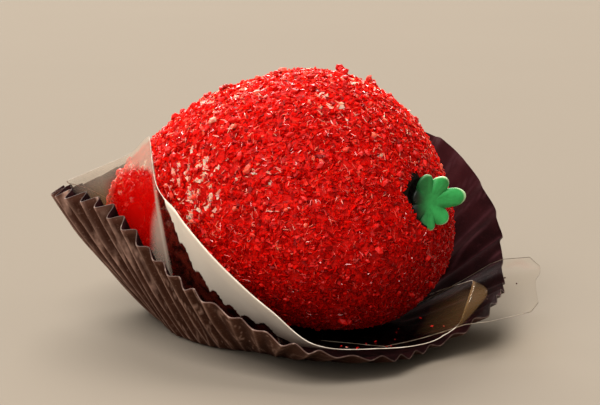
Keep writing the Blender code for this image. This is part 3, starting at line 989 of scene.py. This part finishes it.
blank = spun_blank(steps_between(0, 1, 14), 210)
edge_mark = blank.verts.layers.float.new("edge")
right_mark = blank.verts.layers.float.new("to_the_right")
for vert in blank.verts:
    share = vert.co.length
    angle = math.atan2(vert.co.y, vert.co.x)
    radius = share * (CALYX_HEART + (lobe_reach(angle) - CALYX_HEART) * share)
    cup = CALYX_CUP * ((radius / (1.8 * CALYX_HEART)) ** 2 - 1)
    nearest = min(degrees_apart(angle, degrees) for degrees, _ in CALYX_LOBES)
    groove = GROOVE_DEPTH * max(0, (share - 0.4) / 0.6) ** 2 * min(1, nearest / 24) ** 2
    rolled = ROLLED_EDGE * share**6
    streak = STREAK_DEPTH * share * noise.noise(polar(angle, 9, share))
    vert[edge_mark] = share
    vert[right_mark] = radius * math.cos(angle) / MM
    vert.co = polar(angle, radius, cup - groove - rolled + streak)
blank.transform(CALYX_PLACE)
calyx = piece_of("gum_calyx", blank, ["calyx"], sharp=180)
thicken(calyx, CALYX_THICKNESS)
smooth = calyx.modifiers.new("rounding", "SUBSURF")
smooth.levels = smooth.render_levels = 1

gum = Finish("green_gum_paste", Roughness=0.5, Specular_IOR_Level=0.35)
gum_grain = gum.speckle(0.9 * MM, detail=3)
gum_green = gum.blend(gum_grain.between(0.3, 0.7), (0.018, 0.24, 0.05), (0.028, 0.33, 0.075))
gum_right = gum.marked("to_the_right")
edge_highlight_share = gum.marked("edge").between(0.94, 1.0) * gum_right.between(-1.0, 0.4) * 0.95
gum_edge_highlight = gum.blend(edge_highlight_share, gum_green, (0.6, 0.85, 0.5))
# The left part is painted near-black as the shade that the hollow's wall casts.
gum_shade = gum.blend(gum_right.between(-1.75, 0.45), (0.0005, 0.003, 0.001), gum_edge_highlight)
gum.feed(gum.shader.inputs["Base Color"], gum_shade)
gum.relief(gum_grain, 0.03 * MM)
calyx.data.materials.append(gum.material)


# --- Loose crumbs --------------------------------------------------------------------------------
# Sugar that fell from the sweet lies on the liners, and a few dark crumbs of chocolate lie on the
# strip's outer end.

LOOSE = 14
LOOSE_SIZE = (0.1, 0.18)
CRUMBS = 5
CRUMB_SIZE = (0.15, 0.32)
UP = Vector((0, 0, 1))
crumb_chance = random.Random(4)
places = []
tones = []
for _ in range(LOOSE):
    angle = math.radians(crumb_chance.uniform(284, 330))
    spot = sheet_point(angle, crumb_chance.uniform(1.05, 1.7))
    size = crumb_chance.uniform(*LOOSE_SIZE) * MM
    shape = (size * 1.5, size, size * 0.8)
    spot += UP * 0.06 * MM
    places.append(crystal_place(spot, UP, shape, sunk=0, lean=0.2, chance=crumb_chance))
    tones.append(crumb_chance.random())
loose = many_of("loose_sugar", crystal(taper=0.2, slant=0.3), places, tones)
loose_red = sugar_finish("loose_red_sugar", GRAIN_STOPS, roughness=0.3, gloss=0.3)
loose.data.materials.append(loose_red)

places = []
for _ in range(CRUMBS):
    spot = strip_point(crumb_chance.uniform(0.75, 0.95), crumb_chance.uniform(-0.4, 0.5))
    shape = [crumb_chance.uniform(*CRUMB_SIZE) * MM] * 3
    spot += UP * 0.05 * MM
    places.append(crystal_place(spot, UP, shape, sunk=0, lean=0.4, chance=crumb_chance))
crumb = bmesh.new()
bmesh.ops.create_icosphere(crumb, subdivisions=1, radius=0.5)
crumbs = many_of("dark_crumbs", crumb, places, [0] * CRUMBS)
dark = Finish("dark_crumb", Roughness=0.6)
dark_grain = dark.speckle(0.2 * MM)
dark_tone = dark.blend(dark_grain, (0.02, 0.006, 0.003), (0.08, 0.03, 0.015))
dark.feed(dark.shader.inputs["Base Color"], dark_tone)
crumbs.data.materials.append(dark.material)


# --- Studio --------------------------------------------------------------------------------------
# A pale beige floor that runs out of sight, a wide soft light behind, a second high up in front on
# the left, a weak low one in front, and a long lens that looks slightly down.

FLOOR_REACH = 2
LAMPS_AIM = Vector((0, 0, 10 * MM))
CAMERA_PLACE = (3 * MM, -243.1 * MM, 59.6 * MM)
# Turned up this far from straight down, the camera looks 11 degrees below level.
CAMERA_TILT = math.radians(79)

floor_mesh = bmesh.new()
bmesh.ops.create_grid(floor_mesh, x_segments=2, y_segments=2, size=FLOOR_REACH)
floor_data = bpy.data.meshes.new("floor")
floor_mesh.to_mesh(floor_data)
floor_mesh.free()
floor = bpy.data.objects.new("floor", floor_data)
bpy.context.scene.collection.objects.link(floor)
beige = Finish("beige_floor", Roughness=0.9, Specular_IOR_Level=0)
beige_mottle = beige.blend(beige.speckle(40 * MM), (0.23, 0.2, 0.163), (0.236, 0.205, 0.167))
beige.feed(beige.shader.inputs["Base Color"], beige_mottle)
floor_data.materials.append(beige.material)


def soft_light(name, place, size, power, colour):
    """A square panel of soft light that faces the sweet."""
    lamp = bpy.data.lights.new(name, "AREA")
    lamp.shape = "SQUARE"
    lamp.size = size
    lamp.energy = power
    lamp.color = colour
    panel = bpy.data.objects.new(name, lamp)
    panel.location = place
    panel.rotation_euler = (LAMPS_AIM - Vector(place)).to_track_quat("-Z", "Y").to_euler()
    bpy.context.scene.collection.objects.link(panel)


soft_light("key", (-0.28, 1.32, 1.14), size=1.1, power=54, colour=(1.0, 0.97, 0.93))
soft_light("fill", (-0.66, -0.86, 1.8), size=1.5, power=58, colour=(1.0, 0.96, 0.92))
soft_light("front", (-0.6, -1.5, 0.7), size=1.2, power=11, colour=(1.0, 0.97, 0.94))

world = bpy.data.worlds.new("studio")
world.use_nodes = True
world.node_tree.nodes["Background"].inputs["Color"].default_value = (0.9, 0.8, 0.68, 1)
world.node_tree.nodes["Background"].inputs["Strength"].default_value = 0.45
bpy.context.scene.world = world

lens = bpy.data.cameras.new("camera")
lens.lens = 150
lens.sensor_width = 36
lens.clip_start = 0.02
camera = bpy.data.objects.new("camera", lens)
camera.location = CAMERA_PLACE
camera.rotation_euler = (CAMERA_TILT, 0, 0)
bpy.context.scene.collection.objects.link(camera)
bpy.context.scene.camera = camera
bpy.context.scene.view_settings.view_transform = "Standard"
